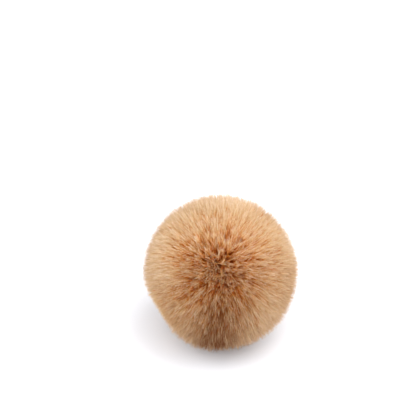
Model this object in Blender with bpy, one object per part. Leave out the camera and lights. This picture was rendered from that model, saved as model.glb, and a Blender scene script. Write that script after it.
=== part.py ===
"""A fur pom pom: one round of long-pile fur cloth, gathered into a ball with the pile outwards.

The whole ball is one piece of cloth, so it is one solid. The gathered backing is a small ball
divided into cells, and a lock of pile of three or four sides grows from each cell. The locks
stand apart from just above their roots to their tips. Under the ball the pile is pressed: those
locks are shorter, and their ends lie level on the surface that the ball rests on.

Metres, +Z up. The origin is the middle of the flat spot that the ball rests on.
"""

import math
import random
from collections import namedtuple

import bmesh
import bpy
from mathutils import Vector, noise

# Driving dimensions
POM_DIAMETER = 0.080  # over the tips of the pile
PRESSED_DEPTH = 0.0025  # how far the pile under the ball is pressed in by its weight
BACKING_DIAMETER = 0.042  # the gathered backing that the roots are fused into

# The pile
CELL_CORNERS = 270  # corners of the backing's cells, which give just under 300 cells
CORNER_JITTER = 0.22  # how far a corner strays from its even place, in cell widths
ROOT_FILLED = 0.90  # share of its cell's width that a lock's root fills
PRESSED_END_FILLED = 0.62  # the same for the level end of a pressed lock
LENGTH_VARIETY = 0.0009  # the shortest free lock is this much shorter than the longest
TIP_LEAN = 0.0026  # how far a lock's tip leans to one side where the pile is most ruffled
RUFFLE_SIZE = 0.030  # locks closer together than about this lean alike
SEED = 7

# A lock's cross-sections above its root. Its last section is its blunt tip.
LockSection = namedtuple("LockSection", "along_pile cell_filled")
LOCK_SECTIONS = (
    LockSection(along_pile=0.52, cell_filled=0.92),
    LockSection(along_pile=0.86, cell_filled=0.74),
    LockSection(along_pile=1.00, cell_filled=0.16),
)

FUR_COLOUR = (0.55, 0.30, 0.14, 1.0)
FUR_ROUGHNESS = 0.85

# Worked out from the above
POM_RADIUS = POM_DIAMETER / 2
BACKING_RADIUS = BACKING_DIAMETER / 2
CENTRE_HEIGHT = POM_RADIUS - PRESSED_DEPTH
GOLDEN_ANGLE = math.pi * (3 - math.sqrt(5))


def clear_scene():
    for obj in list(bpy.data.objects):
        bpy.data.objects.remove(obj, do_unlink=True)


def cell_corners(rng):
    """Points spread evenly over the backing by the golden angle, each moved a little aside."""
    cell_width = BACKING_RADIUS * math.sqrt(4 * math.pi / CELL_CORNERS)
    corners = []
    for i in range(CELL_CORNERS):
        height = 1 - (2 * i + 1) / CELL_CORNERS
        ring = math.sqrt(1 - height * height)
        turn = i * GOLDEN_ANGLE
        even = Vector((ring * math.cos(turn), ring * math.sin(turn), height)) * BACKING_RADIUS
        aside = Vector([rng.uniform(-1, 1) for _ in range(3)]) * CORNER_JITTER * cell_width
        corners.append((even + aside).normalized() * BACKING_RADIUS)
    return corners


def backing_cells(rng):
    """The backing as a closed ball of three- and four-sided cells, one of them straight below."""
    bm = bmesh.new()
    for corner in cell_corners(rng):
        bm.verts.new(corner)
    bmesh.ops.convex_hull(bm, input=bm.verts)
    bmesh.ops.join_triangles(
        bm,
        faces=bm.faces,
        angle_face_threshold=math.pi,
        angle_shape_threshold=math.pi,
    )
    down = Vector((0, 0, -1))
    lowest = min(bm.faces, key=lambda cell: cell.calc_center_median().normalized().z)
    turn = lowest.calc_center_median().rotation_difference(down)
    bmesh.ops.rotate(bm, cent=(0, 0, 0), matrix=turn.to_matrix(), verts=bm.verts)
    return bm


def lean_of(axis):
    """How a lock's tip leans: a vector square to its axis, alike for locks that are neighbours.

    It falls to nothing straight below, where the pile is held between the ball and the surface.
    """
    drift = noise.noise_vector(axis * POM_RADIUS / RUFFLE_SIZE)
    sideways = drift - drift.dot(axis) * axis
    freedom = 1 - min(0, axis.z) ** 2
    return sideways * freedom * TIP_LEAN


def grow_lock(bm, cell, rng):
    """Extrudes one cell into a lock, section by section, from its root on the backing to its tip."""
    centre = cell.calc_center_median()
    axis = centre.normalized()
    root_radius = centre.length
    tip_radius = POM_RADIUS - rng.uniform(0, LENGTH_VARIETY)
    lean = lean_of(axis)
    pressed = tip_radius * -axis.z > CENTRE_HEIGHT
    if pressed:
        tip_radius = CENTRE_HEIGHT / -axis.z
    size = 1.0
    for along, filled in ((0.0, ROOT_FILLED), *LOCK_SECTIONS):
        if pressed and along == 1.0:
            filled = PRESSED_END_FILLED
        radius = root_radius + along * (tip_radius - root_radius)
        new_centre = axis * radius + lean * along * along
        new_size = filled * radius / root_radius
        cell = bmesh.ops.extrude_discrete_faces(bm, faces=[cell])["faces"][0]
        for corner in cell.verts:
            corner.co = new_centre + (corner.co - centre) * (new_size / size)
        centre, size = new_centre, new_size
    for corner in cell.verts:
        corner.co.z = -CENTRE_HEIGHT if pressed else max(corner.co.z, -CENTRE_HEIGHT)


def fur_material():
    material = bpy.data.materials.new("fur")
    material.use_nodes = True
    surface = material.node_tree.nodes["Principled BSDF"]
    surface.inputs["Base Color"].default_value = FUR_COLOUR
    surface.inputs["Roughness"].default_value = FUR_ROUGHNESS
    surface.inputs["Metallic"].default_value = 0.0
    return material


def fur_ball(collection):
    rng = random.Random(SEED)
    noise.seed_set(SEED)
    bm = backing_cells(rng)
    for cell in list(bm.faces):
        grow_lock(bm, cell, rng)
    mesh = bpy.data.meshes.new("fur_ball")
    bm.to_mesh(mesh)
    bm.free()
    mesh.materials.append(fur_material())
    ball = bpy.data.objects.new("fur_ball", mesh)
    ball.location = (0, 0, CENTRE_HEIGHT)
    collection.objects.link(ball)
    return ball


def main():
    clear_scene()
    collection = bpy.data.collections.new("pom_pom")
    bpy.context.scene.collection.children.link(collection)
    fur_ball(collection)


main()
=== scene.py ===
import math

import bpy
import numpy as np
from mathutils import Matrix, Vector


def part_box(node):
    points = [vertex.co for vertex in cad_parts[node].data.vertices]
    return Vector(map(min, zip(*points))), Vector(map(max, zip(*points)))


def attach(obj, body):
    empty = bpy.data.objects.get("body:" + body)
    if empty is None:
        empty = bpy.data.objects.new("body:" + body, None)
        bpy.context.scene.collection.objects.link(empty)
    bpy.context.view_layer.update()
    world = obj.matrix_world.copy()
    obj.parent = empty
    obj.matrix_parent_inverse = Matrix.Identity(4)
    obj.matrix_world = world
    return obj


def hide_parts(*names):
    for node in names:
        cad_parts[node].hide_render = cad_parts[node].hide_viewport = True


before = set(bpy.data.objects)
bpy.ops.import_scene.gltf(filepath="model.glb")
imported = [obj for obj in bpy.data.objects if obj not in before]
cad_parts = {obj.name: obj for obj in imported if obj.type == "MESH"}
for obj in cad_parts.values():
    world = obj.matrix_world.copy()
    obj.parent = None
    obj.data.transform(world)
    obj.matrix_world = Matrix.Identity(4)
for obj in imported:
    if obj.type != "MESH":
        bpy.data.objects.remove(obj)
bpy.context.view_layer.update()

print("frame loaded")

# The ball, worked out from its solid: the widest side gives the reach of the pile.
ballLow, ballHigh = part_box("fur_ball")
pileReach = max(ballHigh.x - ballLow.x, ballHigh.y - ballLow.y) / 2
ballMiddle = np.array([0.0, 0.0, ballHigh.z - pileReach])
floorHeight = ballLow.z
goldenAngle = math.pi * (3 - math.sqrt(5))
rng = np.random.default_rng(1)


def unit(vectors):
    return vectors / np.linalg.norm(vectors, axis=-1, keepdims=True)


# Angle between neighbours when so many directions are spread evenly, in radians.
def evenSpacing(count):
    return math.sqrt(4 * math.pi / count)


# Even directions: on a ball of radius one, the i-th of n lies (2i + 1) / n below the top and i golden angles
# round it. Each is then moved a little aside and brought back to length one.
def evenDirections(count, jitter):
    i = np.arange(count)
    height = 1 - (2 * i + 1) / count
    ring = np.sqrt(1 - height ** 2)
    turn = i * goldenAngle
    even = np.stack([ring * np.cos(turn), ring * np.sin(turn), height], 1)
    return unit(even + rng.normal(size=(count, 3)) * jitter * evenSpacing(count))


# How the pile lies: it fans out from its crown, with a broad lean, partings between locks and small tufts.
lie = {
    "crown": (0.04, -0.765, 0.643),  # the direction that the pile is combed away from
    "fan": 0.35,
    "ruffled": 0.7,  # how much stronger partings and tufts are where the pile is ruffled
    # ruffles: number of waves, fineness and push
    "broadLean": (8, 3.5, 0.085),
    "partings": (14, 12.0, 0.018),
    "tufts": (24, 32.0, 0.006),
    "swell": (6, 4.0, 1.0),
    "shade": (8, 6.0, 1.0),
    "finenessSpread": (0.7, 1.4),  # of a ruffle's waves, as shares of its fineness
    "shadeDrift": 0.065,  # how far the shade of the pile drifts over the ball
}


# Ruffle: push(direction) = sum over its waves of sin(direction along the wave + start) * way, with random
# waves, starts and ways.
def makeRuffle(waves, fineness, push):
    wave = unit(rng.normal(size=(waves, 3))) * fineness * rng.uniform(*lie["finenessSpread"], (waves, 1))
    start = rng.uniform(0, 2 * math.pi, waves)
    way = rng.normal(size=(waves, 3)) * push / math.sqrt(waves)
    return lambda directions: np.sin(directions @ wave.T + start) @ way


crown = np.array(lie["crown"])
broadLean = makeRuffle(*lie["broadLean"])
partings = makeRuffle(*lie["partings"])
tufts = makeRuffle(*lie["tufts"])
swell = makeRuffle(*lie["swell"])
shade = makeRuffle(*lie["shade"])

# Places where the pile is darker or paler, more ruffled, more streaked, longer or shorter: turn, height and
# radius in degrees, and amount, in metres for the length. The darker and paler places are painted shade and
# painted light in the hair's colour. The front is at turn -90 and the right at turn 0.
patches = {
    # in this list an amount above 0 is painted light and one below 0 is painted shade
    "toneWithPaintedLight": [
        (-95, -37, 12, -0.44),  # painted shade, a dark wedge low at the front
        (-90, -22, 9, -0.04),
        (-72, -12, 14, -0.10),
        (-94, 0, 9, -0.18),
        (-97, -15, 9, -0.12),
        (-80, 33, 6, -0.17),  # painted shade in the middle of the crown
        (-88, 36, 12, 0.10),  # and painted light round it
        (-127, 28, 12, -0.08),
        (-57, 30, 8, -0.06),
        (-55, -7, 12, 0.14),  # painted light low at the right
        (-119, 63, 14, 0.13),  # painted light high at the left
        (-151, 27, 14, 0.08),  # painted light on the left side
        (-143, 10, 15, 0.08),
        (-160, -24, 13, 0.16),
        (80, 82, 34, 0.14),  # painted light on the top
        (-102, 0, 26, -0.14),  # broad painted shade below the crown
        (-43, 8, 14, 0.13),  # painted light on the right side
        (-29, 44, 14, -0.08),
    ],
    "ruffle": [
        (-88, 37, 21, 1.1),  # the crown
        (-104, -2, 20, 0.7),
        (-92, -28, 18, 0.8),
    ],
    "streaked": [
        (-91, -12, 22, 1.9),
    ],
    "length": [
        (-114, -51, 14, 0.0013),
        (-158, -24, 13, -0.0034),
        (-12, -16, 12, -0.0008),
    ],
}
tanTone = 0.5  # from 0, the darkest hair and painted shade, through this, the usual tan, to 1, the palest hair and painted light


# Sum of the patches of a kind, each being amount * exp((cos - 1) / radius^2), where cos is the cosine of the
# angle between the direction and the patch's middle.
def patchSum(kind, directions):
    total = np.zeros(len(directions))
    for turn, height, radius, amount in patches[kind]:
        turn, height, radius = np.radians([turn, height, radius])
        level = math.cos(height)
        middle = [math.cos(turn) * level, math.sin(turn) * level, math.sin(height)]
        total += amount * np.exp((directions @ middle - 1) / radius ** 2)
    return total


# Where a hair that starts at a root direction has its tip: direction + fan * (direction - crown * cos) + the
# ruffles' pushes, where cos is the direction's share along the crown.
def leanedDirections(directions):
    away = directions - (directions @ crown)[:, None] * crown
    stronger = 1 + lie["ruffled"] * patchSum("ruffle", directions)
    push = broadLean(directions) + (partings(directions) + tufts(directions)) * stronger[:, None]
    return unit(directions + lie["fan"] * away + push)


# Tone of the hair in a direction: tan + drift * shade + the patches, which are painted light and painted
# shade.
def toneWithPaintedLightAt(directions):
    return tanTone + lie["shadeDrift"] * shade(directions)[:, 0] + patchSum("toneWithPaintedLight", directions)


def newMaterial(name):
    material = bpy.data.materials.new(name)
    material.use_nodes = True
    tree = material.node_tree
    return material, tree.nodes, tree.links, tree.nodes["Principled BSDF"]


def colourRamp(nodes, stops):
    ramp = nodes.new("ShaderNodeValToRGB")
    elements = ramp.color_ramp.elements
    while len(elements) < len(stops):
        elements.new(0.5)
    for element, (place, colour) in zip(elements, stops):
        element.position = place
        element.color = (*colour, 1)
    return ramp


# Every piece of the ball stands for its solid, which is hidden.
def addPiece(name, mesh):
    piece = bpy.data.objects.new(name, mesh)
    bpy.context.scene.collection.objects.link(piece)
    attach(piece, "root")
    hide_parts("fur_ball")
    return piece


backing = {
    "radius": 0.0225,
    "lift": 0.0010,  # the pile hangs a little, so the ball under it sits above the middle
    "across": 72,
    "down": 36,
    "lumps": 0.0005,
    "lumpFineness": 4,  # how much finer the lumps are than the swell of the pile
    "grainScale": 900,
    "grainDetail": 4,
    # the grain is the cloth's own, and its dark brown is painted shade deep in the pile
    "grainWithPaintedShade": [(0.3, (0.10, 0.028, 0.006)), (0.7, (0.22, 0.070, 0.018))],  # from dark to pale
    "bumpStrength": 0.6,
    "bumpDepth": 0.0004,
    "roughness": 0.9,
}
rootMiddle = ballMiddle + [0, 0, backing["lift"]]


def clothMaterial():
    material, nodes, links, surface = newMaterial("ball_cloth")
    coordinates = nodes.new("ShaderNodeTexCoord")
    grain = nodes.new("ShaderNodeTexNoise")
    grain.inputs["Scale"].default_value = backing["grainScale"]
    grain.inputs["Detail"].default_value = backing["grainDetail"]
    links.new(coordinates.outputs["Object"], grain.inputs["Vector"])
    tint = colourRamp(nodes, backing["grainWithPaintedShade"])
    links.new(grain.outputs["Fac"], tint.inputs["Fac"])
    links.new(tint.outputs["Color"], surface.inputs["Base Color"])
    bump = nodes.new("ShaderNodeBump")
    bump.inputs["Strength"].default_value = backing["bumpStrength"]
    bump.inputs["Distance"].default_value = backing["bumpDepth"]
    links.new(grain.outputs["Fac"], bump.inputs["Height"])
    links.new(bump.outputs["Normal"], surface.inputs["Normal"])
    surface.inputs["Roughness"].default_value = backing["roughness"]
    return material


# Backing: point(turn, fall) = middle + direction(turn, fall) * (radius + lumps * swell), a closed grid.
def backingBall():
    across, down = backing["across"], backing["down"]
    turn = np.arange(across) * 2 * math.pi / across
    fall = np.arange(1, down) * math.pi / down
    ring = np.stack([
        np.sin(fall)[:, None] * np.cos(turn)[None],
        np.sin(fall)[:, None] * np.sin(turn)[None],
        np.repeat(np.cos(fall)[:, None], across, 1),
    ], -1).reshape(-1, 3)
    directions = np.concatenate([[[0, 0, 1]], ring, [[0, 0, -1]]])
    lumps = backing["lumps"] * swell(directions * backing["lumpFineness"])[:, :1]
    points = rootMiddle + directions * (backing["radius"] + lumps)

    # four-cornered faces between the rings, and a fan of three-cornered ones at the top and the bottom
    start = 1 + (np.arange(down - 2) * across)[:, None]
    here = np.arange(across)
    there = (here + 1) % across
    sides = np.stack([start + here, start + across + here, start + across + there, start + there], -1)
    last = len(directions) - 1
    edge = last - across
    top = np.stack([np.zeros_like(here), 1 + here, 1 + there], -1)
    bottom = np.stack([np.full_like(here, last), edge + there, edge + here], -1)

    mesh = bpy.data.meshes.new("ball_cloth")
    mesh.from_pydata(points, [], sides.reshape(-1, 4).tolist() + top.tolist() + bottom.tolist())
    mesh.shade_smooth()
    mesh.materials.append(clothMaterial())
    ball = addPiece("ball_cloth", mesh)


backingBall()
print("backing ball made")

# Colours run from the root to the tip of a hair, for the darkest hair, the usual tan hair and the palest.
# They go by depth in the pile: the paler tips are the hair's own, and the darker, redder colours deeper down
# are painted shade of the pile above.
furShades = {
    "darkHairAndPaintedShade": [(0.0, (0.34, 0.055, 0.005)), (0.5, (0.31, 0.060, 0.006)), (0.67, (0.26, 0.054, 0.007)),
                 (0.74, (0.22, 0.050, 0.009)), (0.82, (0.18, 0.048, 0.011)), (1.0, (0.17, 0.056, 0.016))],
    "tanHair": [(0.0, (0.56, 0.106, 0.009)), (0.5, (0.60, 0.143, 0.013)), (0.67, (0.63, 0.203, 0.034)),
                (0.74, (0.635, 0.297, 0.091)), (0.83, (0.655, 0.410, 0.200)), (1.0, (0.67, 0.462, 0.295))],
    "paleHairAndPaintedLight": [(0.0, (0.72, 0.160, 0.020)), (0.5, (0.89, 0.390, 0.100)), (0.62, (0.92, 0.530, 0.210)),
                 (0.72, (0.93, 0.655, 0.350)), (0.83, (0.94, 0.755, 0.500)), (1.0, (0.95, 0.800, 0.690))],
    "hueSpread": 0.012,
    "valueSpread": 0.03,
    "roughness": 0.62,
    "gloss": 0.05,
}

# A hair's map runs across by how dark or pale its hair is, painted light and painted shade included, in
# columns, and up by depth in the pile, where the colour also darkens as painted shade.
hairMap = {
    "name": "OFBake",
    "columns": 128,
    "columnMargin": 0.1,  # left free on both sides of a column, as a share of its width
    "depthMargin": 0.01,  # left free at the foot and the head of the map
    "lidRise": 0.004,  # how far the lid of a hair rises across its column
}


# The colour of a hair depends on its map alone.
def furMaterial(name):
    material, nodes, links, surface = newMaterial(name)
    place = nodes.new("ShaderNodeUVMap")
    place.uv_map = hairMap["name"]
    split = nodes.new("ShaderNodeSeparateXYZ")
    links.new(place.outputs["UV"], split.inputs[0])
    # from dark hair, which also stands in for painted shade, to tan over the map's left half, and on to pale
    # hair, which also stands in for painted light, over its right half
    ramps = [colourRamp(nodes, furShades[kind]) for kind in ("darkHairAndPaintedShade", "tanHair", "paleHairAndPaintedLight")]
    for ramp in ramps:
        links.new(split.outputs["Y"], ramp.inputs["Fac"])
    colour = ramps[0].outputs["Color"]
    for ramp, start, end in ((ramps[1], 0.0, tanTone), (ramps[2], tanTone, 1.0)):
        share = nodes.new("ShaderNodeMapRange")
        share.inputs["From Min"].default_value = start
        share.inputs["From Max"].default_value = end
        links.new(split.outputs["X"], share.inputs["Value"])
        blend = nodes.new("ShaderNodeMix")
        blend.data_type = "RGBA"
        links.new(share.outputs[0], blend.inputs["Factor"])
        links.new(colour, blend.inputs["A"])
        links.new(ramp.outputs["Color"], blend.inputs["B"])
        colour = blend.outputs["Result"]
    # each column has a hue and a value of its own, where a hue of 0.5 and a value of 1 change nothing
    column = nodes.new("ShaderNodeMath")
    column.operation = "MULTIPLY"
    column.inputs[1].default_value = hairMap["columns"]
    links.new(split.outputs["X"], column.inputs[0])
    whole = nodes.new("ShaderNodeMath")
    whole.operation = "FLOOR"
    links.new(column.outputs[0], whole.inputs[0])
    chance = nodes.new("ShaderNodeTexWhiteNoise")
    chance.noise_dimensions = "1D"
    links.new(whole.outputs[0], chance.inputs["W"])
    hue = nodes.new("ShaderNodeMapRange")
    hue.inputs["To Min"].default_value = 0.5 - furShades["hueSpread"]
    hue.inputs["To Max"].default_value = 0.5 + furShades["hueSpread"]
    links.new(chance.outputs["Value"], hue.inputs["Value"])
    value = nodes.new("ShaderNodeMapRange")
    value.inputs["To Min"].default_value = 1 - furShades["valueSpread"]
    value.inputs["To Max"].default_value = 1 + furShades["valueSpread"]
    links.new(chance.outputs["Color"], value.inputs["Value"])
    shift = nodes.new("ShaderNodeHueSaturation")
    links.new(hue.outputs[0], shift.inputs["Hue"])
    links.new(value.outputs[0], shift.inputs["Value"])
    links.new(colour, shift.inputs["Color"])
    links.new(shift.outputs[0], surface.inputs["Base Color"])
    surface.inputs["Roughness"].default_value = furShades["roughness"]
    surface.inputs["Specular IOR Level"].default_value = furShades["gloss"]
    return material


fur = furMaterial("fur")
hairSides = 3


# One hair's triangles, and for each of their corners its place across and along the map.
def hairTriangles(rings):
    point = rings * hairSides
    faces, acrossMap, alongMap = [], [], []
    for ring in range(rings):
        for side in range(hairSides):
            a, b = ring * hairSides + side, ring * hairSides + (side + 1) % hairSides
            left, right = side / hairSides, (side + 1) / hairSides
            if ring + 1 < rings:
                faces += [(a, b, b + hairSides), (a, b + hairSides, a + hairSides)]
                acrossMap += [(left, right, right), (left, right, left)]
                alongMap += [(ring, ring, ring + 1), (ring, ring + 1, ring + 1)]
            else:
                faces.append((a, b, point))
                acrossMap.append((left, right, (left + right) / 2))
                alongMap.append((ring, ring, ring + 1))
    # the lid comes last
    faces.append((2, 1, 0))
    acrossMap.append((1.0, 0.5, 0.0))
    alongMap.append((0, 0, 0))
    return np.array(faces), np.array(acrossMap), np.array(alongMap)


# Hairs: three-cornered sections carried along their paths, with a lid at the start and a point at the end.
# point(ring, corner) = path(ring) + width(ring) * (cos a * across + sin a * aside), a = corner / 3 of a turn.
# paths: hairs x (rings + 1) x 3, the last being the point. widths: hairs x rings. depths: one for each place
# of the path.
def hairMesh(name, paths, widths, tonesWithPaintedLight, depths):
    count, rings = widths.shape
    run = unit(paths[:, -1] - paths[:, 0])
    across = unit(np.cross(run, rng.normal(size=run.shape)))
    aside = np.cross(run, across)
    turn = np.arange(hairSides) * 2 * math.pi / hairSides
    around = np.cos(turn)[:, None] * across[:, None] + np.sin(turn)[:, None] * aside[:, None]
    rounds = paths[:, :-1, None] + widths[:, :, None, None] * around[:, None]
    points = np.concatenate([rounds.reshape(count, rings * hairSides, 3), paths[:, -1:]], axis=1)
    faces, acrossMap, alongMap = hairTriangles(rings)
    firstPoint = np.arange(count) * points.shape[1]
    allFaces = (faces + firstPoint[:, None, None]).reshape(-1, 3)

    columns = hairMap["columns"]
    sideFree = hairMap["columnMargin"]
    endFree = hairMap["depthMargin"]
    column = np.clip((tonesWithPaintedLight * columns).astype(int), 0, columns - 1)
    u = (column[:, None, None] + sideFree + (1 - 2 * sideFree) * acrossMap) / columns
    v = endFree + (1 - 2 * endFree) * depths[:, alongMap]
    v[:, -1] += hairMap["lidRise"] * acrossMap[-1]

    mesh = bpy.data.meshes.new(name)
    mesh.from_pydata(points.reshape(-1, 3), [], allFaces.tolist())
    layer = mesh.uv_layers.new(name=hairMap["name"])
    layer.data.foreach_set("uv", np.stack([u, v], -1).astype(np.float32).ravel())
    mesh.shade_smooth()
    mesh.materials.append(fur)
    addPiece(name, mesh)
    print(name, len(allFaces), "triangles")


pressedPile = {
    "outward": 0.8,  # how far a raised point goes outwards, as a share of how far it is raised
    "underMiddle": 0.0001,  # nearer than this to the upright through the middle, it goes outwards less
}


# A point that would lie under the floor is raised to just above it, and pushed outwards from the upright
# through the middle.
def pressOnFloor(points, clearance):
    below = np.maximum(floorHeight + clearance - points[..., 2], 0)
    outward = points * [1, 1, 0]
    outward /= np.maximum(np.linalg.norm(outward, axis=-1, keepdims=True), pressedPile["underMiddle"])
    pressed = points + outward * (below * pressedPile["outward"])[..., None]
    pressed[..., 2] += below
    return pressed


# How deep in the pile a point that far along a hair lies, 0 on the backing and 1 at the full reach.
def depthAt(along, reach):
    return np.clip(along * (reach - backing["radius"]) / (pileReach - backing["radius"]), 0, 1)


# Root of a hair: middle of the backing + direction * radius.
def rootAt(directions):
    return rootMiddle + directions * backing["radius"]


# Tip of a hair: middle of the ball + direction * reach.
def tipAt(directions, reach):
    return ballMiddle + directions * reach[:, None]


strands = {
    "count": 19800,
    "jitter": 0.8,
    "tufts": 1700,  # small tufts that neighbouring strands are drawn into
    "tuftJitter": 0.6,
    "tuftPull": 0.16,  # of the way to the tuft's middle, at most
    "ruffledPull": 4.0,  # how much more that is where the pile is ruffled
    "stray": 0.020,  # how far a strand strays from the lie of its neighbours
    "proud": 0.0008,  # how far the longest strands stand out past the solid's reach
    "lengthVariety": 0.0040,
    "mostlyLong": 1.6,  # the higher, the fewer are short
    "swell": 0.0004,  # slow changes of length over the ball
    "bend": 0.0014,
    "toneSpread": 0.040,
    "ruffledTones": 1.5,  # how much more the tones spread where the pile is ruffled
}


# Strands: neighbouring ones lean alike, and a few at a time are drawn into a tuft.
def layStrands():
    count = strands["count"]
    rootAxis = evenDirections(count, strands["jitter"])
    tuftMiddles = evenDirections(strands["tufts"], strands["tuftJitter"])
    tuft = np.argmax(rootAxis @ tuftMiddles.T, axis=1)
    pull = rng.uniform(0, strands["tuftPull"], strands["tufts"])
    pull = (pull * (1 + strands["ruffledPull"] * patchSum("ruffle", tuftMiddles)))[tuft]
    tipAxis = rootAxis + (tuftMiddles[tuft] - rootAxis) * pull[:, None]
    tipAxis = unit(leanedDirections(unit(tipAxis)) + rng.normal(size=(count, 3)) * strands["stray"])
    shorter = strands["lengthVariety"] * rng.uniform(0, 1, count) ** strands["mostlyLong"]
    reach = pileReach + strands["proud"] - shorter + strands["swell"] * swell(rootAxis)[:, 0]
    reach += patchSum("length", tipAxis)
    streaks = 1 + strands["ruffledTones"] * patchSum("ruffle", tipAxis) + patchSum("streaked", tipAxis)
    # the strand's colour: its own random spread plus the patches' painted light and painted shade
    toneWithPaintedLight = toneWithPaintedLightAt(tipAxis) + strands["toneSpread"] * streaks * rng.normal(size=count)
    return rootAxis, tipAxis, reach, toneWithPaintedLight, rng.normal(size=(count, 3)) * strands["bend"]


strandRoots, strandTips, strandReach, strandTonesWithPaintedLight, strandBends = layStrands()
strandSpacing = evenSpacing(strands["count"])

pointedHair = {
    "pieces": 2,
    "inStrand": 2,
    "rootSpread": 0.60,  # spread of a strand's hairs, in distances between strands
    "middleSpread": 0.30,
    "tipSpread": 0.16,
    "lengthVariety": 0.0029,
    "mostlyLong": 2,
    "middleAt": 0.62,
    "bend": 0.0005,
    "rootWidth": 0.00018,
    "middleWidth": 0.00013,
    "widthSpread": (0.8, 1.2),
    "toneSpread": 0.055,
    "middleClearance": 0.0005,  # above the floor, at least
    "tipClearance": 0.0002,
    "tipClearanceVariety": 0.0008,
}
fineHair = {
    "pieces": 2,
    "inStrand": 5,
    "rootSpread": 0.70,
    "tipSpread": 0.75,
    "lengthVariety": 0.0042,
    "shortness": (-0.15, 1),  # shares of the variety, the first for hairs that stand past their strand
    "tipWidth": 0.00005,
    "widthSpread": (0.7, 1.3),
    "toneSpread": 0.058,
    "tipClearance": 0.0003,
    "tipClearanceVariety": 0.0008,
}


# Pointed hairs: those of a strand start apart, draw together by their middle points and run on to one tip.
# middle = root + (tip - root) * middleAt, both read with the middle's own spread, plus a small random bend.
def pointedHairs():
    of = np.repeat(np.arange(strands["count"]), pointedHair["inStrand"])
    spread = rng.normal(size=(len(of), 3)) * strandSpacing
    shorter = pointedHair["lengthVariety"] * rng.uniform(0, 1, len(of)) ** pointedHair["mostlyLong"]
    reach = strandReach[of] - shorter
    root = rootAt(unit(strandRoots[of] + spread * pointedHair["rootSpread"]))
    tip = tipAt(unit(strandTips[of] + spread * pointedHair["tipSpread"]), reach)
    along = pointedHair["middleAt"]
    middleRoot = rootAt(unit(strandRoots[of] + spread * pointedHair["middleSpread"]))
    middleTip = tipAt(unit(strandTips[of] + spread * pointedHair["middleSpread"]), reach)
    middle = middleRoot + (middleTip - middleRoot) * along + strandBends[of]
    middle += rng.normal(size=middle.shape) * pointedHair["bend"]
    clearance = pointedHair["tipClearance"] + pointedHair["tipClearanceVariety"] * rng.uniform(size=len(of))
    tip = pressOnFloor(tip, clearance)
    paths = np.stack([root, pressOnFloor(middle, pointedHair["middleClearance"]), tip], 1)
    widths = rng.uniform(*pointedHair["widthSpread"], (len(of), 1))
    widths = widths * [pointedHair["rootWidth"], pointedHair["middleWidth"]]
    depths = np.stack([np.zeros(len(of)), depthAt(along, reach), depthAt(1, reach)], 1)
    tonesWithPaintedLight = strandTonesWithPaintedLight[of] + pointedHair["toneSpread"] * rng.normal(size=len(of))
    return paths, widths, tonesWithPaintedLight, depths


# Fine hairs: straight, cut level at the tip, where they are widest, and scattered about the strands.
# path = from the tip to the root, so that the lid lies on the tip and the point on the backing.
def fineHairs():
    of = np.repeat(np.arange(strands["count"]), fineHair["inStrand"])
    spread = rng.normal(size=(len(of), 3)) * strandSpacing
    reach = strandReach[of] - fineHair["lengthVariety"] * rng.uniform(*fineHair["shortness"], len(of))
    root = rootAt(unit(strandRoots[of] + spread * fineHair["rootSpread"]))
    tip = tipAt(unit(strandTips[of] + spread * fineHair["tipSpread"]), reach)
    clearance = fineHair["tipClearance"] + fineHair["tipClearanceVariety"] * rng.uniform(size=len(of))
    tip = pressOnFloor(tip, clearance)
    widths = fineHair["tipWidth"] * rng.uniform(*fineHair["widthSpread"], (len(of), 1))
    depths = np.stack([depthAt(1, reach), np.zeros(len(of))], 1)
    tonesWithPaintedLight = strandTonesWithPaintedLight[of] + fineHair["toneSpread"] * rng.normal(size=len(of))
    return np.stack([tip, root], 1), widths, tonesWithPaintedLight, depths


# The hairs of a kind are shared out by strand, so that no piece has too many triangles.
def inPieces(name, kind, made):
    share = np.arange(len(made[0])) // kind["inStrand"] % kind["pieces"]
    for part in range(kind["pieces"]):
        hairMesh(f"{name}_{part + 1}", *(values[share == part] for values in made))


inPieces("pointed_hair", pointedHair, pointedHairs())
inPieces("fine_hair", fineHair, fineHairs())
print("long pile made")

underfur = {
    "count": 36000,
    "jitter": 0.5,
    "shortest": 0.0280,  # reach of its tips from the middle
    "longest": 0.0352,
    "stray": 0.05,
    "width": 0.00034,
    "widthSpread": (0.8, 1.2),
    "darker": 0.06,  # than the long pile
    "toneSpread": 0.06,
    "tipClearance": 0.0003,
}


# An underfur hair is one thick spike from the backing to its tip, which strays from the lie of the pile.
def underfurHairs():
    count = underfur["count"]
    rootDirection = evenDirections(count, underfur["jitter"])
    tipDirection = unit(leanedDirections(rootDirection) + rng.normal(size=(count, 3)) * underfur["stray"])
    reach = rng.uniform(underfur["shortest"], underfur["longest"], count)
    root = rootAt(rootDirection)
    tip = pressOnFloor(tipAt(tipDirection, reach), underfur["tipClearance"])
    widths = underfur["width"] * rng.uniform(*underfur["widthSpread"], (count, 1))
    # the underfur's colour, with the patches' painted light and painted shade in it
    tonesWithPaintedLight = toneWithPaintedLightAt(tipDirection) - underfur["darker"] + underfur["toneSpread"] * rng.normal(size=count)
    depths = np.stack([np.zeros(count), depthAt(1, reach)], 1)
    return np.stack([root, tip], 1), widths, tonesWithPaintedLight, depths


hairMesh("underfur", *underfurHairs())
print("underfur made")

studio = {
    "floorSize": 6.0,
    "floorColour": (0.80, 0.81, 0.84),
    "floorRoughness": 0.9,
    "floorGloss": 0.1,
    "skyColour": (0.85, 0.85, 0.86),
    "lamps": [
        # name, place, size, power
        ("overhead", (0.45, 0.0, 0.88), 1.0, 5.4),
        ("front", (0.12, -0.68, 0.72), 1.6, 9.8),
        ("left", (-0.87, 0.0, 0.50), 0.9, 3.5),
    ],
}


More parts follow.
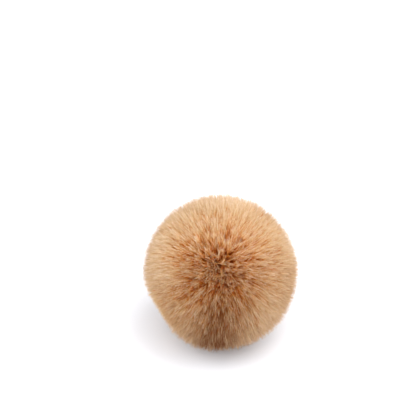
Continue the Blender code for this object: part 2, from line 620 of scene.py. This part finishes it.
def makeFloor():
    mesh = bpy.data.meshes.new("floor")
    half = studio["floorSize"] / 2
    corners = [(-half, -half, floorHeight), (half, -half, floorHeight), (half, half, floorHeight),
               (-half, half, floorHeight)]
    mesh.from_pydata(corners, [], [(0, 1, 2, 3)])
    material, *_, surface = newMaterial("floor")
    surface.inputs["Base Color"].default_value = (*studio["floorColour"], 1)
    surface.inputs["Roughness"].default_value = studio["floorRoughness"]
    surface.inputs["Specular IOR Level"].default_value = studio["floorGloss"]
    mesh.materials.append(material)
    floor = bpy.data.objects.new("floor", mesh)
    bpy.context.scene.collection.objects.link(floor)


def makeLight():
    world = bpy.data.worlds.new("studio")
    world.use_nodes = True
    world.node_tree.nodes["Background"].inputs["Color"].default_value = (*studio["skyColour"], 1)
    bpy.context.scene.world = world
    for name, place, size, power in studio["lamps"]:
        lamp = bpy.data.lights.new(name, "AREA")
        lamp.shape = "DISK"
        lamp.size = size
        lamp.energy = power
        lampObject = bpy.data.objects.new(name, lamp)
        lampObject.location = place
        aim = Vector(ballMiddle) - lampObject.location
        lampObject.rotation_euler = aim.to_track_quat("-Z", "Y").to_euler()
        bpy.context.scene.collection.objects.link(lampObject)


camera = {
    "distance": 0.62,
    "elevation": 36.0,  # of the line of sight to the ball
    "lens": 108.0,
    "ballInPicture": (220.5, 272.0),  # the ball's middle in a picture of 400 by 400
    "pictureSide": 400,
    "nearest": 0.01,  # what is nearer or further than these isn't drawn
    "furthest": 20,
}


# The camera's line of sight to the ball has the wanted elevation, and the camera is turned about itself
# so that the ball's middle falls on its place in the picture.
def makeCamera():
    data = bpy.data.cameras.new("camera")
    data.lens = camera["lens"]
    # how far right and down the ball lies on a plane one unit in front of the camera
    perPixel = data.sensor_width / data.lens / camera["pictureSide"]
    right = (camera["ballInPicture"][0] - camera["pictureSide"] / 2) * perPixel
    down = (camera["ballInPicture"][1] - camera["pictureSide"] / 2) * perPixel
    pitch = math.radians(camera["elevation"]) - math.atan(down)
    turned = Matrix.Rotation(math.pi / 2 - pitch, 3, "X")
    toBall = (turned @ Vector((right, -down, -1))).normalized()
    viewer = bpy.data.objects.new("camera", data)
    viewer.location = Vector(ballMiddle) - toBall * camera["distance"]
    viewer.rotation_euler = turned.to_euler()
    data.clip_start = camera["nearest"]
    data.clip_end = camera["furthest"]
    bpy.context.scene.collection.objects.link(viewer)
    bpy.context.scene.camera = viewer


makeFloor()
makeLight()
makeCamera()
bpy.context.scene.view_settings.view_transform = "Standard"
print("studio made")
